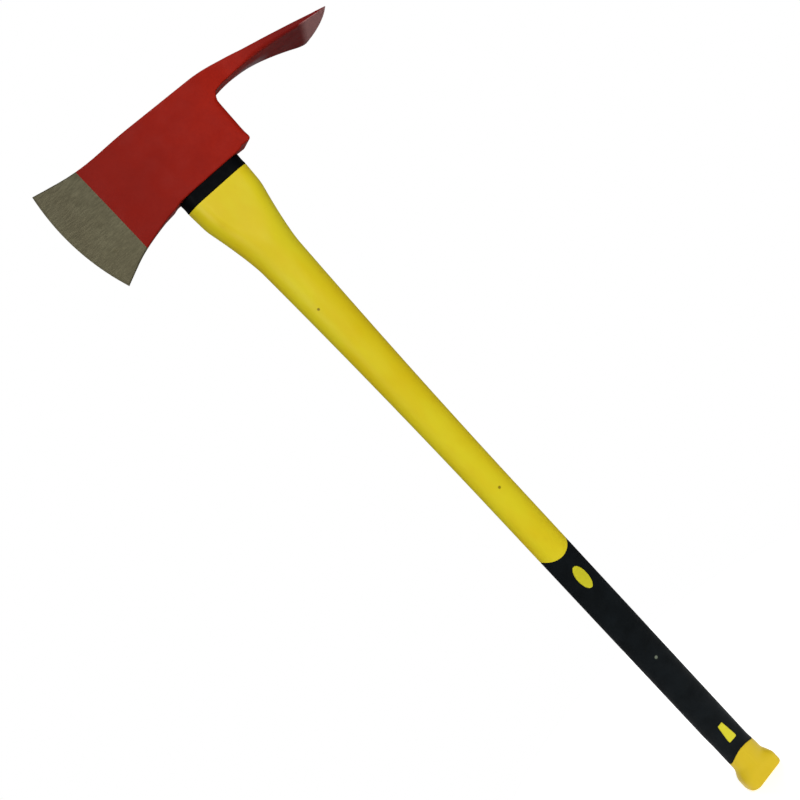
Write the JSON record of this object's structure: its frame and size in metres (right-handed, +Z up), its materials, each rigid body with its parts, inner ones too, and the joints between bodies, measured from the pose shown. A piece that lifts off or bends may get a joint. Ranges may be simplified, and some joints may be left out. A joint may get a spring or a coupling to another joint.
{
  "type": "fire axe",
  "caption": "Grubbing fire axe: a red steel head with a curved cutting bit and a cross-set grubbing blade, on a flared yellow handle with a black rubber grip.",
  "frame": {"origin": "centre of the handle's flat butt face", "axes": "+Z up the handle to the head, -X towards the cutting bit, +X towards the grubbing blade, Y across the head; the XZ plane is the mirror plane"},
  "size_m": [0.3115, 0.086, 0.8937],
  "materials": {
    "head_steel": "red satin enamel, with a bare ground cutting bit and bare grubbing bevel",
    "epoxy": "cured dark resin, slightly glossy",
    "core_fibreglass": "sawn glass-fibre rod",
    "collar_rubber": "black satin rubber",
    "jacket_plastic": "moulded yellow polypropylene, satin",
    "grip_rubber": "fine-textured black grip rubber"
  },
  "bodies": {
    "root": {"axe_head": "head_steel", "eye_epoxy": "epoxy", "handle_core": "core_fibreglass", "neck_collar": "collar_rubber", "handle_jacket": "jacket_plastic", "grip_sleeve": "grip_rubber"}
  },
  "joints": []
}
